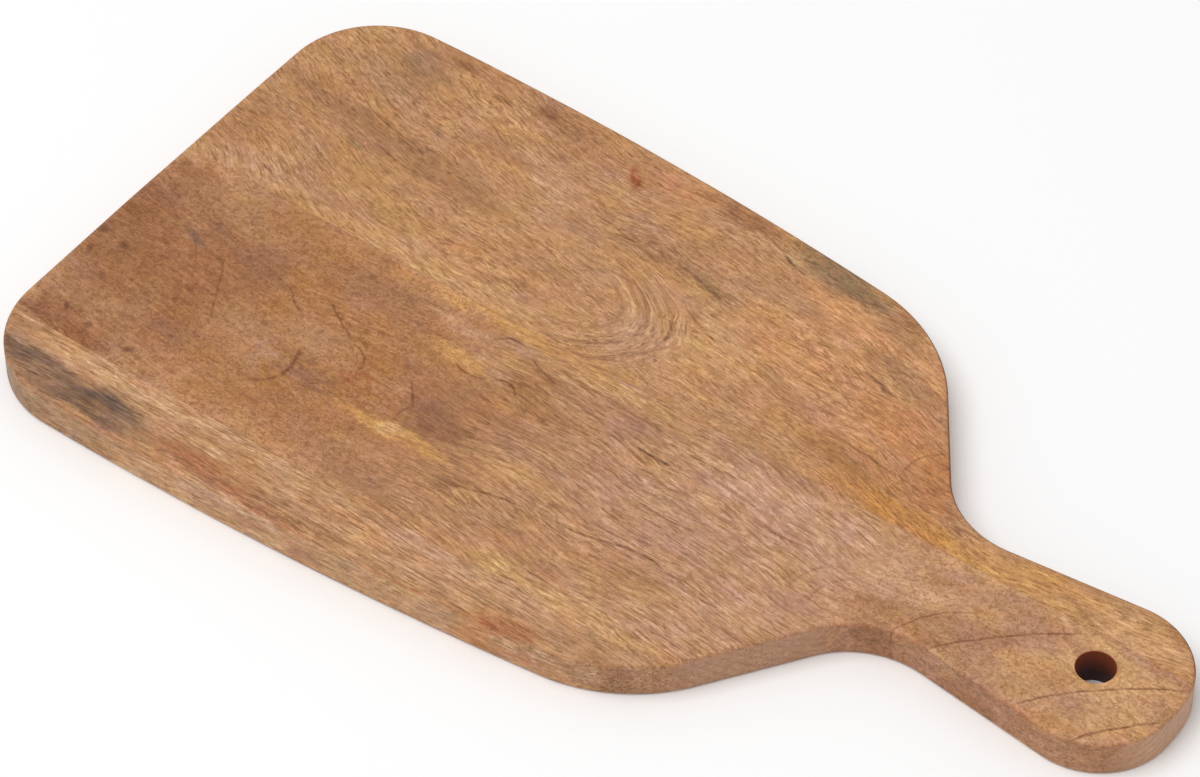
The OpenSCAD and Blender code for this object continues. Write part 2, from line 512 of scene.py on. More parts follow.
class Fibres:
    """The run of the fibres through one stave, as coordinates to read noise in, in millimetres."""

    def __init__(self, g, place, look):
        self.g = g
        x, y, z = (g.add("SeparateXYZ", {0: place}, out=k) for k in range(3))
        self.x, self.z = x, z
        sway = self.wave(place, look["wander_scale"], look["wander"])
        ripple = self.wave(place, RIPPLE_SCALE, look["ripple"])
        share = g.plus(g.math("DIVIDE", x, BOARD_L), 0.5)
        bend = g.minus(self.curve(share, look["bend"]), 0.5)
        across = g.minus(y, g.times(bend, BLADE_W))
        across = g.plus(g.plus(across, sway), ripple)
        self.straight = g.add("CombineXYZ", {0: x, 1: across, 2: z})
        self.turned = self.turned_share = None
        if "arch" in look:
            self.arch(y, ripple, *look["arch"])

    def wave(self, place, scale, height):
        """A shift across the fibres that drifts from place to place."""
        g = self.g
        noise = g.noise(place, scale, detail=1.0)
        return g.times(g.minus(noise, 0.5), height)

    def curve(self, share, stops):
        """The sweep of the fibres from one end of the board to the other."""
        node = self.g.tree.nodes.new("ShaderNodeFloatCurve")
        self.g.tree.links.new(share, node.inputs["Value"])
        line = node.mapping.curves[0]
        for k, (x, rise) in enumerate(stops):
            at, value = x / BOARD_L + 0.5, rise / BLADE_W + 0.5
            if k < 2:
                line.points[k].location = (at, value)
            else:
                line.points.new(at, value)
        node.mapping.update()
        return node.outputs[0]

    def arch(self, y, ripple, arch_x, arch_y, reach, half):
        """Beyond arch_x the fibres close round in an arch, as where a saw cut grazes the rings."""
        g = self.g
        beyond = g.math("MAXIMUM", g.minus(self.x, arch_x), 0.0)
        aside = g.minus(y, arch_y)
        out = g.length(g.add("CombineXYZ", {0: g.times(beyond, half / reach), 1: aside}))
        along = g.plus(self.x, g.times(aside, ARCH_SKEW))
        self.turned = g.add("CombineXYZ", {0: along, 1: g.plus(out, ripple), 2: self.z})
        rim = g.ramp(out, ARCH_RIM * half, half)
        core = g.ramp(out, ARCH_INSIDE[0] * half, ARCH_INSIDE[1] * half)
        begun = g.ramp(self.x, arch_x - ARCH_LEAD, arch_x + ARCH_LAG, 0.0, ARCH_SHARE)
        self.turned_share = g.times(g.times(rim, core), begun)

    def noise(self, scale, detail, roughness=0.6):
        """Noise whose grains lie along the fibres."""
        g = self.g
        plain = g.noise(self.straight, scale, detail=detail, roughness=roughness)
        if self.turned is None:
            return plain
        round_arch = g.noise(self.turned, scale, detail=detail, roughness=roughness)
        return g.add("Mix", {0: self.turned_share, 2: plain, 3: round_arch}, data_type="FLOAT")


# Scales of the noises, per millimetre along the fibres, across them and through the thickness
RIPPLE_SCALE = (0.05, 0.09, 0.07)
BROAD_SCALE = (0.03, 0.13, 0.09)
STREAK_SCALE = (0.08, 0.62, 0.5)
THREAD_SCALE = (0.10, 1.5, 1.0)
HUE_SCALE = (0.04, 0.10, 0.08)
SPECK_SCALE = (0.56, 0.74, 0.74)
MOTTLE_SCALE = (0.16, 0.2, 0.2)
BREAK_SCALE = (0.25, 0.25, 0.25)
RAGGED_SCALE, RAGGED_REACH = (0.07, 0.2, 0.1), (26, 10, 0)
SHAKE_SCALE, SHAKE_REACH = (0.16, 0.16, 0.16), (1.7, 1.7, 0)
DRIFT_SCALE, DRIFT_REACH = (0.07, 0.11, 0.11), (0.20, 0.15, 0.75)

# A patch or a spot fades from its core to its rim, as shares of its size. Reach and slack are how far
# a feature may stray, so that a zone holds every feature that can show in it.
PATCH_RIM, PATCH_CORE, RAGGED_SLACK = 1.35, 0.3, 9
SPOT_RIM, SPOT_CORE, SPOT_REACH = 1.5, 0.3, 2
LINE_SLACK, RINGS_REACH = 3, 1.3

# How dark each kind of pore shows at most, the tint of the darkest, and their depth
DASH_DEPTH, FLECK_DEPTH, SPECK_DEPTH = 0.64, 0.45, 0.3
PORE_TINT = (0.34, 0.25, 0.18, 1.0)
PORE_DEPTH = 0.08

# How far a fully speckled figure puts down the dashes
CALMING = 0.8

# The oiled surface: its roughness, how much the pores add to that, the height of a streak against a
# pore's depth, the strength of the relief, and the oil's optics
SATIN, PORE_ROUGHNESS = (0.50, 0.60), 0.2
STREAK_HEIGHT, RELIEF = 0.35, 0.35
OIL_IOR, OIL_SPECULAR = 1.46, 0.32

# Painted light and shade: what the tone of the faces is multiplied by on the sides of the blade (painted
# light) and of the handle (painted shade), for how the lamp falls on them, and between which x it goes
# over from the one to the other
BLADE_SIDE_PAINTED_LIGHT = (1.095, 1.20, 1.295, 1.0)
HANDLE_SIDE_PAINTED_SHADE = (0.803, 0.755, 0.764, 1.0)
BLADE_TO_HANDLE = (15, 80)

# Shares at most: end grain on the ends, late wood in it, rust on all rims, and umber as painted shade on
# the far rim
END_SHARE, LATE_SHARE, FAR_RIM_PAINTED_SHADE_SHARE = 0.62, 0.4, 0.7
RUST_SHARE = (0.05, 0.25)

# Growth rings on the ends: their width, how far they waver, and how little they turn along the fibres
RING_GAP, RING_WAVER = 2.7, 2.5
ACROSS_FIBRES = (0.04, 1, 1)


class Wood:
    """Oiled solid wood whose fibres run through a stave, with the features that reach one zone of
    its length. All lengths are in millimetres."""

    def __init__(self, name, look, zone):
        self.look, self.zone = look, zone
        self.material = bpy.data.materials.new(name)
        self.g = g = Graph(self.material)
        self.place = g.millimetres()
        self.flat = g.vector("MULTIPLY", self.place, (1, 1, 0))
        self.fibres = Fibres(g, self.place, look)
        self.broad = self.fibres.noise(BROAD_SCALE, 3.0)
        self.streak = self.fibres.noise(STREAK_SCALE, 4.0, 0.68)
        self.thread = self.fibres.noise(THREAD_SCALE, 2.0)
        self.mottle = g.noise(self.place, MOTTLE_SCALE, detail=3.0, roughness=0.6)
        self.speck = g.noise(self.place, SPECK_SCALE, detail=2.0, roughness=0.6, distortion=1.2)
        self.broken = g.ramp(g.noise(self.place, BREAK_SCALE), 0.35, 0.6, 0.55, 1.0)
        self.choose_figure()
        pores = self.pores()
        colour = self.marks(self.patches(self.ground()))
        colour = self.shine(colour)
        colour = g.mix(pores, colour, g.mix(1.0, colour, PORE_TINT, "MULTIPLY"))
        colour = self.sides(colour)
        if look["drilled"]:
            colour = self.bore_wall(colour)
        self.finish(colour, pores)

    def reaches(self, x_from, x_to):
        """Whether a stretch of the length shows in this zone."""
        return x_to > self.zone[0] and x_from < self.zone[1]

    def ground(self):
        """Broad streaks from dark to light, then clouds of a warmer and of a cooler hue."""
        g, look = self.g, self.look
        hue = g.noise(self.fibres.straight, HUE_SCALE)
        colour = g.mix(g.ramp(self.broad, 0.36, 0.64), linear(look["dark"]), linear(look["light"]))
        colour = g.mix(g.ramp(hue, 0.5, 0.68, 0.0, look["warm_share"]), colour, linear(look["warm"]))
        return g.mix(g.ramp(hue, 0.48, 0.32, 0.0, look["cool_share"]), colour, linear(look["cool"]))

    def patches(self, colour):
        """Patches of other tones, with ragged edges that follow the fibres."""
        g = self.g
        ragged = g.wander(self.fibres.straight, RAGGED_SCALE, RAGGED_REACH, detail=3.0)
        spread = g.vector("ADD", self.flat, ragged)
        by_streak = g.ramp(self.streak, 0.3, 0.7, 0.6, 1.3)
        by_thread = g.ramp(self.thread, 0.3, 0.65, 0.65, 1.15)
        grainy = g.times(by_streak, by_thread)
        for x, y, along, wide, lean, tone, strength in self.look["patches"]:
            reach = PATCH_RIM * max(along, wide) + RAGGED_SLACK
            if self.reaches(x - reach, x + reach):
                edge = g.length(g.local(spread, x, y, along, wide, lean))
                shown = g.times(g.ramp(edge, PATCH_RIM, PATCH_CORE, 0.0, strength), grainy)
                colour = g.mix(shown, colour, linear(tone))
        return colour

    def marks(self, colour):
        """Small dark spots, thin lines and growth rings, each a little shaky and broken."""
        g, look = self.g, self.look
        shaky = g.vector("ADD", self.flat, g.wander(self.place, SHAKE_SCALE, SHAKE_REACH))
        marks = {}

        def mark(tone, shown, strength):
            shown = g.times(shown, strength)
            marks[tone] = g.math("MAXIMUM", marks[tone], shown) if tone in marks else shown

        for x, y, along, wide, lean, tone, strength in look["spots"]:
            if self.reaches(x - SPOT_REACH * along, x + SPOT_REACH * along):
                edge = g.length(g.local(shaky, x, y, along, wide, lean))
                mark(tone, g.ramp(edge, SPOT_RIM, SPOT_CORE), strength)
        for start, middle, end, width, tone, strength in look["lines"]:
            low, high = sorted((start[0], end[0]))
            if self.reaches(low - LINE_SLACK, high + LINE_SLACK):
                mark(tone, stroke(g, shaky, start, middle, end, width), strength)
        for x, y, along, wide, lean, count, facing, tone, strength in look["rings"]:
            if self.reaches(x - RINGS_REACH * along, x + RINGS_REACH * along):
                mark(tone, ring_set(g, shaky, x, y, along, wide, lean, count, facing), strength)
        for tone, shown in marks.items():
            colour = g.mix(g.times(shown, self.broken), colour, linear(tone))
        return colour

    def choose_figure(self):
        """Where the fibres rise to the surface the figure is speckled, and elsewhere it runs in
        dashes. Calm is 1 where it is all specks, and run is near 1 where it is all dashes."""
        g = self.g
        self.calm = self.look["speckled"][0]
        for start, full, strength in self.look["speckled"][1:]:
            self.calm = g.math("MAXIMUM", self.calm, g.ramp(self.fibres.x, start, full, 0.0, strength))
        self.run = g.minus(1.0, g.times(self.calm, CALMING))

    def pores(self):
        """How strongly the dark pores show: dashes, shorter flecks, specks and long thin veins."""
        g, look, noise = self.g, self.look, self.fibres.noise
        crowd = g.ramp(self.broad, 0.3, 0.7, -0.05, 0.05)
        dash = g.ramp(g.plus(noise(look["dash_scale"], 2.5, 0.62), crowd), 0.545, 0.61)
        fleck = g.ramp(g.plus(noise(look["fleck_scale"], 2.0, 0.7), crowd), 0.54, 0.66)
        vein = g.math("ABSOLUTE", g.minus(noise(look["vein_scale"], 1.0), 0.5))
        vein = g.times(g.ramp(vein, 0.07, 0.015), self.broken)
        by_thread = g.ramp(self.thread, 0.38, 0.6, 0.1, look["vein"])
        pores = None
        for wave, strength, where in (
                (dash, DASH_DEPTH, self.run),
                (fleck, FLECK_DEPTH, self.run),
                (vein, by_thread, self.run),
                (g.ramp(self.speck, 0.55, 0.70), SPECK_DEPTH, self.calm)):
            shown = g.times(g.times(wave, strength), where)
            pores = shown if pores is None else g.math("MAXIMUM", pores, shown)
        return pores

    def shine(self, colour):
        """Light fibres between the pores, uneven oil, and a drift of hue."""
        g = self.g
        glint = g.ramp(self.fibres.noise(self.look["shine_scale"], 2.0), 0.46, 0.60)
        speckled = g.plus(g.times(self.calm, 0.6), 0.4)
        for share, wave, low, high in (
                (self.run, g.ramp(self.streak, 0.34, 0.66), (0.87, 0.83, 0.77), (1.11, 1.14, 1.18)),
                (self.run, glint, (0.925, 0.91, 0.895), (1.10, 1.13, 1.18)),
                (self.run, g.ramp(self.thread, 0.36, 0.62), (0.925, 0.90, 0.87), (1.065, 1.08, 1.11)),
                (speckled, g.ramp(self.speck, 0.36, 0.62), (1.15, 1.19, 1.24), (0.82, 0.78, 0.73)),
                (1.0, g.ramp(self.mottle, 0.3, 0.7), (0.94, 0.92, 0.90), (1.06, 1.07, 1.09))):
            colour = g.mix(share, colour, g.mix(wave, low + (1.0,), high + (1.0,)), "MULTIPLY")
        drift = g.wander(self.place, DRIFT_SCALE, DRIFT_REACH, detail=4.0, roughness=0.65)
        return g.mix(1.0, colour, g.vector("ADD", drift, (1.0, 1.0, 1.0)), "MULTIPLY")

    def end_grain(self):
        """Growth rings round the pith, as a cut across the fibres shows them."""
        g = self.g
        aside = g.vector("MULTIPLY", g.vector("SUBTRACT", self.place, self.look["pith"]), ACROSS_FIBRES)
        out = g.plus(g.length(aside), g.times(self.mottle, RING_WAVER))
        season = g.math("FRACT", g.math("DIVIDE", out, RING_GAP))
        late = g.times(g.ramp(season, 0.35, 0.92), g.ramp(season, 1.0, 0.92))
        late = g.times(late, LATE_SHARE)
        return g.mix(late, linear("end_grain"), linear("brown"))

    def sides(self, colour):
        """The sides show painted light on the blade and painted shade on the handle, for how the lamp
        falls on them, and end grain on the ends. Handling has burnished the rims, and the far rim gets
        painted shade in umber.
        """
        g = self.g
        facing = g.add("TexCoord", {}, out="Normal")
        lengthwise, across, upward = (g.add("SeparateXYZ", {0: facing}, out=k) for k in range(3))
        tilt = g.math("ABSOLUTE", upward)
        # Painted light on the blade's sides and painted shade on the handle's sides, for how the lamp
        # falls on them, not a tone of the wood
        side = g.mix(g.ramp(self.fibres.x, *BLADE_TO_HANDLE), BLADE_SIDE_PAINTED_LIGHT, HANDLE_SIDE_PAINTED_SHADE)
        colour = g.mix(g.ramp(tilt, 0.75, 0.35), colour, side, "MULTIPLY")
        endwise = g.ramp(g.math("ABSOLUTE", lengthwise), 0.6, 0.98, 0.0, END_SHARE)
        colour = g.mix(endwise, colour, self.end_grain())
        rim = g.times(g.ramp(tilt, 0.12, 0.5), g.ramp(tilt, 0.99, 0.75))
        rusty = g.times(rim, g.ramp(self.mottle, 0.35, 0.65, *RUST_SHARE))
        colour = g.mix(rusty, colour, linear("rust"))
        # Painted shade: an umber tone on the rim that faces away, along the far side
        behind = g.ramp(across, 0.15, 0.5, 0.0, FAR_RIM_PAINTED_SHADE_SHARE)
        return g.mix(g.times(rim, behind), colour, linear("umber"))

    def bore_wall(self, colour):
        """The wall of the hanging hole, burnt by the drill, and darker with depth as painted shade."""
        g = self.g
        off_axis = g.length(g.vector("SUBTRACT", self.flat, (BOARD_L / 2 - HOLE_INSET, 0, 0)))
        inside = g.ramp(off_axis, HOLE_D / 2 + HOLE_EASE * 0.9, HOLE_D / 2 + HOLE_EASE * 0.3)
        # Painted shade: the wall goes from the burnt tone at the mouth to a near-black one deeper down
        unshaded_near_mouth = g.ramp(self.fibres.z, BOARD_T * 0.25, BOARD_T * 0.85)
        return g.mix(inside, colour, g.mix(unshaded_near_mouth, linear("char"), linear("burnt")))

    def finish(self, colour, pores):
        """Satin oil over open pores."""
        g = self.g
        rough = g.ramp(self.mottle, 0.3, 0.7, *SATIN)
        rough = g.plus(rough, g.times(pores, PORE_ROUGHNESS))
        height = g.minus(g.times(self.streak, STREAK_HEIGHT), pores)
        relief = g.add("Bump", {"Height": height, "Strength": RELIEF, "Distance": PORE_DEPTH * MM})
        g.surface({
            "Base Color": colour, "Roughness": rough, "Normal": relief,
            "IOR": OIL_IOR, "Specular IOR Level": OIL_SPECULAR,
        })


# Patches and spots are (x, y, half length, half width, lean, tone, strength). Lines are three points,
# a half width, a tone and a strength. Rings add a count and the side that they show on.
# A look gives the ground's tones, and how much of it is warm or cool. Its bend holds (x, rise) stops
# of the fibres' sweep, wander and ripple are how far they stray from it, and an arch is (x, y, reach,
# half width). The end rings go round the pith. Speckled says how much of the figure is specks: all
# over, then growing from an x to an x up to a strength.
FAR_PATCHES = [
    (34, 50, 44, 24, -8, "peach", 0.5),
    (-184, 82, 16, 16, -20, "sand", 0.2),
    (-165, 62, 45, 40, 0, "brown", 0.2),
    (-192, 34, 10, 16, -10, "russet", 0.35),
    (-158, 91, 12, 9, -30, "olive", 0.4),
    (-163, 76, 18, 8, -20, "grey_tan", 0.4),
    (-146, 100, 20, 4, -4, "brown", 0.3),
    (-98, 95, 24, 7, -3, "russet", 0.55),
    (-160, 57, 44, 6, -6, "brown", 0.65),
    (-118, 50, 26, 8, -4, "brown", 0.5),
    (-116, 75, 12, 6, -10, "mauve", 0.45),
    (-100, 66, 14, 5, -10, "honey", 0.5),
    (-86, 69, 12, 6, -12, "rose", 0.45),
    (-126, 31, 34, 9, -6, "honey", 0.75),
    (-94, 29, 8, 4, 0, "orange", 0.5),
    (-178, 17, 18, 6, 0, "rose", 0.45),
    (-100, 16, 52, 6, 0, "straw", 0.6),
    (-75, 50, 24, 8, -6, "sand", 0.4),
    (-56, 95, 14, 6, -3, "orange", 0.6),
    (-27, 95, 20, 4, -3, "russet", 0.7),
    (-48, 66, 26, 6, -6, "mauve", 0.6),
    (-20, 62, 16, 4, -10, "olive", 0.45),
    (-10, 78, 24, 9, -6, "tan", 0.4),
    (-26, 31, 14, 16, 0, "rose", 0.5),
    (-2, 42, 20, 13, -12, "straw", 0.7),
    (-12, 33, 7, 7, 0, "rose", 0.4),
    (-4, 90, 9, 3, -10, "cream", 0.4),
    (14, 92, 20, 8, -12, "olive", 0.8),
    (26, 86, 9, 4.5, -16, "grey", 0.45),
    (44, 86, 12, 6, -25, "brown", 0.5),
    (32, 77, 30, 6, -12, "peach", 0.9),
    (62, 74, 12, 5, -50, "peach", 0.8),
    (46, 68, 14, 4, -16, "brown", 0.5),
    (67, 62, 12, 5, -14, "mauve", 0.4),
    (20, 56, 26, 5, -8, "peach", 0.45),
    (66, 47, 20, 10, -12, "orange", 0.8),
    (10, 49, 14, 7, -20, "orange", 0.45),
    (34, 36, 16, 6, -10, "mauve", 0.3),
    (24, 42, 10, 2.5, -4, "grey_tan", 0.5),
    (88, 36, 14, 9, -45, "copper", 0.65),
    (60, 24, 24, 6, -10, "ochre", 0.9),
    (84, 27, 20, 6, -10, "copper", 0.5),
    (86, 15, 34, 7, -2, "amber", 0.85),
    (104, 22, 9, 4, -20, "russet", 0.45),
    (30, 17, 24, 5, 0, "honey", 0.4),
    (128, 15, 26, 6, 2, "yellow", 0.7),
    (146, 20, 14, 4, 5, "yellow", 0.6),
    (156, 15, 9, 2.5, -28, "ochre", 0.7),
    (174, 19, 24, 8, 0, "straw", 0.9),
    (185, 26, 9, 4, -10, "ochre", 0.7),
]
FAR_SPOTS = [
    (-68.5, 89, 6, 2.2, -48, "rust", 1.0),
    (-154, 46, 4, 1.2, -15, "olive", 0.8),
    (-163, 90, 5, 2, -50, "olive", 0.5),
    (-127, 93, 4, 1.2, -10, "sepia", 0.4),
    (-174, 70, 3, 1, -15, "sepia", 0.4),
    (-136, 67, 3, 1, -15, "olive", 0.5),
    (-148, 99, 6, 2, -5, "sepia", 0.5),
    (-110, 97, 5, 2.5, -5, "sepia", 0.4),
    (-172, 20, 3, 0.8, -10, "sepia", 0.6),
    (53, 58, 2.6, 1.2, -20, "umber", 0.6),
]
FAR_LINES = [
    ((-163, 64), (-150, 60), (-134, 58), 0.8, "sepia", 0.5),
    ((-150, 51), (-140, 48.5), (-128, 47), 0.8, "sepia", 0.5),
    ((-186, 76), (-176, 71), (-164, 68), 0.7, "sepia", 0.35),
    ((-112, 42), (-102, 41), (-93, 41.5), 0.8, "sepia", 0.45),
    ((-100, 36), (-92, 34.5), (-82, 34), 0.7, "sepia", 0.4),
    ((-70, 51), (-50, 49), (-36, 50), 0.8, "sepia", 0.4),
    ((-20, 50), (-11, 46), (-3, 43), 1.0, "sepia", 0.6),
    ((-38, 65), (-24, 63), (-8, 59), 1.1, "umber", 0.5),
    ((-22, 62), (-17, 61), (-11, 60), 1.5, "umber", 0.55),
    ((-62, 66), (-50, 64), (-40, 62), 0.9, "sepia", 0.45),
    ((-9, 89.5), (-3, 87), (4, 85), 1.2, "umber", 0.7),
    ((42, 61), (50, 59.5), (58, 57), 0.9, "umber", 0.7),
    ((22, 52), (30, 51), (40, 49.5), 0.8, "sepia", 0.5),
    ((-32, 12), (-27, 18), (-18, 26), 1.0, "sepia", 0.55),
    ((-18, 28), (-17.5, 36), (-22, 46), 1.0, "sepia", 0.6),
    ((86, 47), (79, 40), (78, 30), 0.9, "sepia", 0.5),
    ((45, 33), (62, 31), (80, 29), 0.9, "sepia", 0.55),
    ((148, 21), (157, 15), (166, 12), 1.6, "sepia", 0.35),
    ((138, 22), (150, 18), (160, 15), 1.0, "sepia", 0.25),
]
FAR_RINGS = [
    (-58, 33, 45.7, 28.3, 0, 5.0, -5, "sepia", 0.42),
]
FAR_LOOK = {
    "dark": (186, 136, 93), "light": (207, 157, 111),
    "warm": (202, 150, 94), "warm_share": 0.6, "cool": (184, 138, 106), "cool_share": 0.5,
    "bend": [(-200, 34), (-110, 8), (-20, -4), (60, -14), (110, -26), (200, -20)],
    "wander": 14.0, "wander_scale": (0.014, 0.03, 0.02), "ripple": 3.0,
    "arch": (-58, 34, 42, 24), "pith": (0, 52, -26),
    "dash_scale": (0.22, 1.35, 1.2), "fleck_scale": (0.5, 2.0, 1.7),
    "vein_scale": (0.06, 0.42, 0.4), "vein": 0.5,
    "speckled": [0.15],
    "shine_scale": (0.26, 1.1, 1.0), "drilled": False,
    "patches": FAR_PATCHES, "spots": FAR_SPOTS, "lines": FAR_LINES, "rings": FAR_RINGS,
}

MIDDLE_PATCHES = [
    (-112, -35, 84, 60, 0, "sienna", 0.8),
    (-172, -34, 44, 50, 0, "russet", 0.75),
    (-196, -20, 12, 24, 0, "brick", 0.7),
    (-182, -40, 14, 16, 0, "russet", 0.7),
    (-182, -77, 30, 5, 0, "brick", 0.9),
    (-185, -71, 12, 7, 0, "brick", 0.6),
    (-190, 5, 9, 5, 0, "russet", 0.6),
    (-130, -44, 20, 12, 0, "tan", 0.5),
    (-160, -4, 26, 6, -14, "tan", 0.4),
    (-170, -60, 13, 5, 0, "tan", 0.5),
    (-150, -49, 10, 7, 0, "russet", 0.5),
    (-140, -20, 12, 7, 0, "plum", 0.5),
    (-104, -33, 20, 8, -8, "tan", 0.6),
    (-137, 7, 22, 4, -4, "ochre", 0.9),
    (-170, 5, 10, 4, -4, "honey", 0.5),
    (-106, -3, 24, 7, 0, "brown", 0.55),
    (-102, -10, 16, 5, 0, "mauve", 0.6),
    (-150, -15, 20, 6, -8, "plum", 0.6),
    (-147, -57, 14, 6, 0, "plum", 0.6),
    (-118, -49, 5, 10, -5, "pink_brown", 0.6),
    (-108, -47, 3, 10, 0, "plum", 0.5),
    (-98, -48, 9, 5, 0, "plum", 0.8),
    (-87, -37, 6, 7, 0, "rust", 0.45),
    (-90, -57, 13, 4, 12, "ochre", 0.6),
    (-103, -62, 12, 3, 14, "brown", 0.5),
    (-118, -64, 12, 4, 10, "ochre", 0.6),
    (-124, -72, 12, 5, 0, "ochre", 0.4),
    (-56, -38, 11, 10, 0, "plum", 1.0),
    (-62, -50, 22, 3.0, 3, "yellow", 0.8),
    (-63, -50, 9, 1.4, 3, "cream", 0.5),
    (-47, -50, 8, 2.5, 0, "yellow", 0.35),
    (-63, -11.5, 14, 4.0, -3, "yellow", 0.7),
    (-52, -5, 9, 4, 0, "straw", 0.7),
    (-54, 3, 8, 3.5, 0, "pink_brown", 0.7),
    (-38, 8.5, 28, 3.2, 0, "yellow", 0.6),
    (-76, 9, 26, 2.4, 3, "yellow", 0.7),
    (-99, 10, 11, 1.8, 0, "orange", 0.6),
    (-46, -11.5, 8, 3, 0, "rose", 0.5),
    (-38, -8, 8, 9, -10, "ochre", 0.9),
    (-30, -14, 14, 5, 0, "brown", 0.5),
    (-66, -25, 15, 7, 0, "mauve", 0.6),
    (-92, 2, 16, 5, 0, "mauve", 0.6),
    (-74, 0, 14, 3, 0, "rose", 0.4),
    (-14, 7, 26, 4, 0, "straw", 0.7),
    (8, 6, 14, 4, 0, "sand", 0.5),
    (-20, -57, 20, 6, 6, "honey", 0.6),
    (-36, -58, 10, 3, 20, "brown", 0.6),
    (-72, -70, 30, 8, 0, "mauve", 0.55),
    (-18, -43, 18, 4.5, 4, "straw", 0.6),
    (28, -33, 40, 12, 0, "pink_brown", 0.5),
    (24, -21, 18, 4, 0, "grey_tan", 0.6),
    (58, -14, 16, 5, 0, "pink_brown", 0.6),
    (54, -2, 44, 10, 0, "rose", 0.85),
    (80, -8, 26, 18, 0, "rose", 0.5),
    (46, -26, 60, 28, 0, "rose", 0.4),
    (66, -50, 20, 12, 20, "rose", 0.65),
    (50, -68, 30, 8, 10, "rose", 0.6),
    (16, -76, 50, 4.5, 0, "straw", 0.9),
    (22, -64, 28, 5, 0, "sand", 0.5),
    (138, -14, 30, 18, 0, "brown", 0.3),
    (104, -22, 10, 8, 20, "brown", 0.6),
    (114, -1, 8, 6, 0, "brown", 0.5),
    (119, -20, 10, 3, 0, "russet", 0.5),
    (123, -26, 9, 4, 0, "rose", 0.6),
    (138, -9, 18, 4, 40, "mauve", 0.6),
    (116, -6, 12, 5, 40, "rose", 0.5),
    (128, 3, 12, 4, 30, "pink_brown", 0.5),
    (152, -12, 8, 5, 30, "straw", 0.5),
    (184, -8, 16, 18, 40, "straw", 0.75),
    (168, 8, 12, 3, 0, "straw", 0.5),
    (166, -20, 14, 5, 40, "pink_brown", 0.5),
]
MIDDLE_SPOTS = [
    (-170, -20, 5, 1.8, -20, "grey", 0.9),
    (-166, -12, 3, 1.2, -20, "grey", 0.6),
    (-186, -37.5, 2.2, 1.3, -30, "umber", 0.6),
    (-176.5, -27, 2.5, 1, 0, "umber", 0.5),
    (-183.5, -52, 2.2, 1.2, -45, "umber", 0.7),
    (-156, -40, 2.4, 1, -20, "umber", 0.5),
    (-157, -46, 2, 1, -40, "umber", 0.5),
    (-195, -45, 2.4, 1.3, -60, "umber", 0.7),
    (-197, -35, 2, 2.5, 0, "umber", 0.5),
    (-155, -72.5, 2.6, 1.2, 30, "umber", 0.7),
    (-184, -69, 2, 1, -50, "umber", 0.7),
    (-173, -72, 1.8, 1.2, 0, "umber", 0.6),
    (-166, -61.5, 3, 0.9, 0, "umber", 0.5),
    (-148, -60, 3, 1, 20, "umber", 0.4),
]
MIDDLE_LINES = [
    ((-175, -16), (-164, -27), (-157, -38), 0.8, "sepia", 0.45),
    ((-156, -22), (-149, -34), (-142, -47), 0.8, "sepia", 0.7),
    ((-183, -25), (-176, -40), (-173, -58), 0.7, "sepia", 0.3),
    ((-150, 7), (-138, 3.5), (-128, 2), 0.7, "sepia", 0.4),
    ((-132, -18), (-126, -23), (-120, -26), 0.7, "sepia", 0.7),
    ((-119, -15), (-108, -21), (-98, -27), 0.8, "sepia", 0.7),
    ((-97, -27), (-91, -30), (-89, -38), 0.8, "sepia", 0.8),
    ((-111, -38), (-108, -46), (-108.5, -54), 1.3, "sepia", 0.8),
    ((-108.5, -53), (-111, -57), (-117, -60), 1.2, "sepia", 0.75),
    ((-93, -42), (-95, -47), (-101, -50), 0.8, "sepia", 0.6),
    ((-73, -28), (-68, -34), (-64, -39), 0.8, "sepia", 0.8),
    ((-65, -38), (-66.5, -42), (-66, -47), 0.8, "sepia", 0.5),
    ((-62, 1), (-57, 5), (-47, 2), 0.8, "sepia", 0.7),
    ((-46, 1.5), (-40, -1), (-31, -4), 0.7, "sepia", 0.65),
    ((-52, -14), (-46, -11.5), (-41, -17), 0.9, "sepia", 0.85),
    ((-68, -13), (-60, -15.6), (-52, -14), 0.8, "sepia", 0.75),
    ((-38, -59), (-22, -53.5), (-4, -50.5), 0.9, "sepia", 0.7),
    ((-4, -50.5), (12, -49.3), (22, -47), 0.9, "umber", 0.6),
    ((20, -47.3), (31, -45.3), (42, -46.5), 0.9, "umber", 0.7),
    ((42, -46.5), (52, -48.5), (66, -50), 0.8, "sepia", 0.5),
    ((2, -9.3), (10, -9.9), (18, -9.7), 1.1, "umber", 0.9),
    ((-26, -5.5), (-12, -7.5), (4, -9.3), 0.8, "sepia", 0.45),
    ((-30, 2), (-10, 1.3), (14, 0.3), 0.8, "sepia", 0.45),
    ((14, -8.5), (25, -7.5), (42, -5), 0.8, "sepia", 0.3),
    ((18, -28.5), (29, -28.5), (41, -27.5), 0.8, "sepia", 0.45),
    ((5, -34), (12, -35), (20, -37.5), 0.8, "sepia", 0.4),
    ((61, -13.5), (68, -13), (84, -13.5), 1.0, "sepia", 0.5),
    ((88, -12), (78, -19), (76, -28), 1.0, "sepia", 0.35),
    ((97, -11), (86, -20), (84, -32), 1.0, "sepia", 0.3),
    ((-6, -71), (5, -72), (18, -71.5), 0.9, "sepia", 0.5),
    ((50, -69), (60, -69.3), (72, -71), 0.8, "sepia", 0.4),
    ((111, -28), (118, -13), (135, -0.5), 0.7, "sepia", 0.6),
    ((123.5, -26), (141.2, -6.1), (167, 13), 0.75, "sepia", 0.7),
    ((156, -30), (176.6, -6.9), (205, 12), 0.75, "sepia", 0.7),
    ((178.5, -30), (188.6, -16.5), (202.5, -3), 0.85, "sepia", 0.85),
]
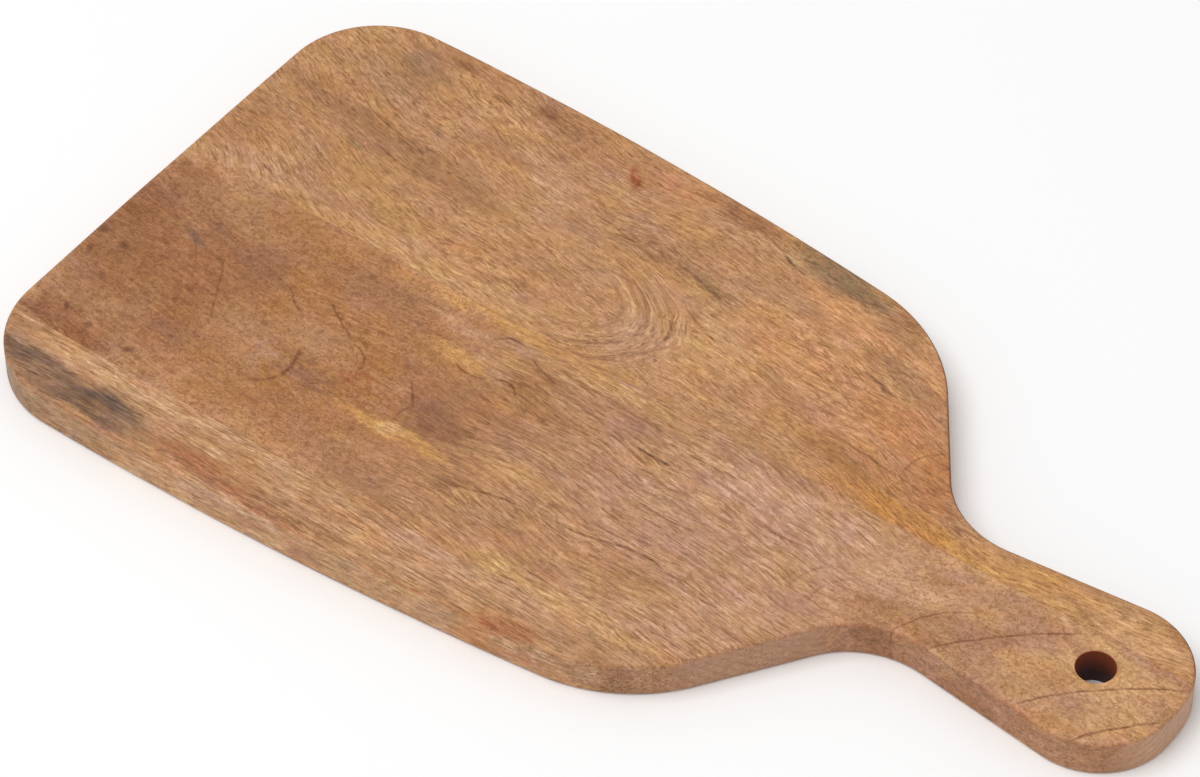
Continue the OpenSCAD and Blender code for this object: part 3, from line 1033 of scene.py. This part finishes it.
MIDDLE_LOOK = {
    "dark": (180, 131, 93), "light": (206, 157, 115),
    "warm": (194, 141, 92), "warm_share": 0.6, "cool": (180, 134, 106), "cool_share": 0.6,
    "bend": [(-200, 14), (-120, 4), (-30, 2), (20, 0), (90, -6), (200, -8)],
    "wander": 16.0, "wander_scale": (0.016, 0.03, 0.02), "ripple": 3.0, "pith": (0, -30, 44),
    "dash_scale": (0.13, 1.35, 1.2), "fleck_scale": (0.42, 2.0, 1.7),
    "vein_scale": (0.045, 0.42, 0.4), "vein": 0.6,
    "speckled": [0.12, (-35, -80, 1.0), (75, 105, 1.0)],
    "shine_scale": (0.24, 1.0, 1.0), "drilled": True,
    "patches": MIDDLE_PATCHES, "spots": MIDDLE_SPOTS, "lines": MIDDLE_LINES, "rings": [],
}

NEAR_PATCHES = [
    (-192, -84, 14, 4, 0, "brown", 0.7),
    (-148, -85, 34, 3.4, 1, "cream", 0.45),
    (-146, -82, 10, 1.5, 2, "orange", 0.5),
    (-170, -97, 38, 8.5, 0, "grey", 0.65),
    (-188, -93, 14, 5, 0, "grey", 0.9),
    (-180, -92.5, 12, 1.8, 0, "slate", 0.4),
    (-150, -94.8, 20, 4, -3, "blue_grey", 0.8),
    (-146, -94.8, 14, 3, -4, "slate", 0.6),
    (-150, -101, 22, 3, 2, "grey", 0.9),
    (-141, -102.5, 9, 2, 0, "slate", 0.6),
    (-100, -97, 34, 4, 0, "ochre", 0.55),
    (-84, -100.5, 34, 2.2, -1, "rust", 0.5),
    (-112, -97, 16, 3, 0, "rust", 0.5),
    (-152, -107, 28, 3.5, 0, "brown", 0.5),
    (-97, -92, 8, 1.6, 0, "cream", 0.5),
    (-70, -96, 30, 3, 0, "brown", 0.5),
    (-20, -83.5, 44, 3.5, 0, "rose", 0.6),
    (12, -94, 16, 4, 10, "copper", 0.65),
    (20, -93, 14, 3, 10, "rust", 0.4),
    (36, -85, 14, 4, 12, "grey_tan", 0.5),
    (51, -88, 9, 4, 30, "brown", 0.6),
    (-46, -98, 40, 3, 0, "tan", 0.7),
    (-60, -107, 90, 3, 2, "sand", 0.4),
]
NEAR_LINES = [
    ((-185, -92), (-165, -91), (-145, -93), 0.8, "umber", 0.5),
    ((-178, -99), (-160, -98), (-140, -99), 0.8, "umber", 0.4),
    ((-96, -99), (-72, -101), (-50, -99.5), 0.8, "sepia", 0.45),
    ((-60, -90), (-44, -89), (-30, -90), 0.7, "sepia", 0.35),
]
NEAR_LOOK = {
    "dark": (188, 139, 97), "light": (208, 162, 119),
    "warm": (202, 146, 96), "warm_share": 0.5, "cool": (186, 142, 108), "cool_share": 0.4,
    "bend": [(-200, 0), (200, -4)],
    "wander": 5.0, "wander_scale": (0.012, 0.03, 0.03), "ripple": 1.6, "pith": (0, -112, -30),
    "dash_scale": (0.13, 1.35, 1.2), "fleck_scale": (0.4, 2.0, 1.7),
    "vein_scale": (0.04, 0.42, 0.4), "vein": 0.55,
    "speckled": [0.1],
    "shine_scale": (0.15, 1.0, 1.0), "drilled": False,
    "patches": NEAR_PATCHES, "spots": [], "lines": NEAR_LINES, "rings": [],
}


# The wood dust in the glue, its depth in millimetres, and the glue's gloss
DUST_SCALE, DUST_RELIEF, DUST_DEPTH = (0.3, 2.0, 1.2), 0.2, 0.03
GLUE_ROUGHNESS = (0.35, 0.5)


def glue_film():
    """Dried wood glue: amber and glossy, with wood dust caught in it."""
    material = bpy.data.materials.new("dried_glue")
    g = Graph(material)
    dust = g.noise(g.millimetres(), DUST_SCALE, detail=3.0, roughness=0.6)
    colour = g.mix(g.ramp(dust, 0.3, 0.7), linear("dark_glue"), linear("pale_glue"))
    rough = g.ramp(dust, 0.3, 0.7, *GLUE_ROUGHNESS)
    relief = g.add("Bump", {"Height": dust, "Strength": DUST_RELIEF, "Distance": DUST_DEPTH * MM})
    g.surface({"Base Color": colour, "Roughness": rough, "Normal": relief})
    return material


STAVES = (
    ("stave_far", FAR_SEAM + GLUE_T / 2, None, FAR_LOOK),
    ("stave_middle", -NEAR_SEAM + GLUE_T / 2, FAR_SEAM - GLUE_T / 2, MIDDLE_LOOK),
    ("stave_near", None, -NEAR_SEAM - GLUE_T / 2, NEAR_LOOK),
)
for node, y_from, y_to, look in STAVES:
    piece = stave(node + "_wood", y_from, y_to, look["drilled"])
    paint(piece, node, look)
    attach(piece, "root")
    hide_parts(node)

glue = glue_film()
for node in ("glue_line_far", "glue_line_near"):
    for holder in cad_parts[node].material_slots:
        holder.material = glue


def studio_floor():
    """A wide pale sweep: flat under the board, rising behind it."""
    bm = bmesh.new()
    half, rise_from, rise_r, rise_to, steps = 3.0, 2.2, 0.8, 70, 12
    path = [(-half, 0.0), (rise_from, 0.0)]
    for k in range(1, steps + 1):
        turn = math.radians(rise_to * k / steps)
        path.append((rise_from + rise_r * math.sin(turn), rise_r * (1 - math.cos(turn))))
    rows = [[bm.verts.new((x, y, z)) for y, z in path] for x in (-half, half)]
    for k in range(len(path) - 1):
        bm.faces.new((rows[0][k], rows[1][k], rows[1][k + 1], rows[0][k + 1]))
    mesh = bpy.data.meshes.new("studio_floor")
    bmesh.ops.recalc_face_normals(bm, faces=bm.faces[:])
    bm.to_mesh(mesh)
    bm.free()
    mesh.shade_smooth()
    floor = bpy.data.objects.new("studio_floor", mesh)
    bpy.context.scene.collection.objects.link(floor)
    material = bpy.data.materials.new("pale_floor")
    pale = (0.97, 0.97, 0.97, 1)
    Graph(material).surface({"Base Color": pale, "Roughness": 0.9, "Specular IOR Level": 0.0})
    mesh.materials.append(material)


def studio_light():
    """One large soft lamp from the camera's left, and an even pale surround."""
    way, distance = Vector((-0.22, -0.30, 0.93)).normalized(), 3.0
    lamp = bpy.data.lights.new("key", "AREA")
    lamp.shape = "SQUARE"
    lamp.size = 2.2
    lamp.energy = 47.0
    holder = bpy.data.objects.new("key", lamp)
    holder.location = way * distance
    holder.rotation_euler = way.to_track_quat("Z", "Y").to_euler()
    bpy.context.scene.collection.objects.link(holder)

    # The surround lights the board a little less than it shows to the camera and in reflections.
    lighting, showing = 0.6, 1.0
    world = bpy.data.worlds.new("surround")
    bpy.context.scene.world = world
    g = Graph(world)
    shown = g.add("LightPath", {}, out="Is Camera Ray")
    for ray in ("Is Transmission Ray", "Is Glossy Ray"):
        shown = g.math("MAXIMUM", shown, g.add("LightPath", {}, out=ray))
    strength = g.add("MapRange", {"Value": shown, "To Min": lighting, "To Max": showing})
    glow = g.add("Background", {"Color": (1, 1, 1, 1), "Strength": strength})
    g.add("OutputWorld", {"Surface": glow})


def studio_camera():
    """The photograph's view: azimuth 0 looks along +Y with +X to the right."""
    azimuth, elevation, distance = math.radians(36.306), math.radians(46.922), 1.630807
    target = Vector((-0.028961, 0.014736, 0.0))
    back = Vector((
        math.sin(azimuth) * math.cos(elevation),
        -math.cos(azimuth) * math.cos(elevation),
        math.sin(elevation),
    ))
    right = Vector((math.cos(azimuth), math.sin(azimuth), 0.0))
    up = back.cross(right)
    lens = bpy.data.cameras.new("camera")
    lens.lens = 150.0
    lens.sensor_width = 36.0
    lens.sensor_fit = "HORIZONTAL"
    lens.clip_start, lens.clip_end = 0.05, 20.0
    camera = bpy.data.objects.new("camera", lens)
    turned = Matrix((right, up, back)).transposed().to_4x4()
    camera.matrix_world = Matrix.Translation(target + back * distance) @ turned
    bpy.context.scene.collection.objects.link(camera)
    bpy.context.scene.camera = camera


studio_floor()
studio_light()
studio_camera()
bpy.context.scene.view_settings.view_transform = "Standard"
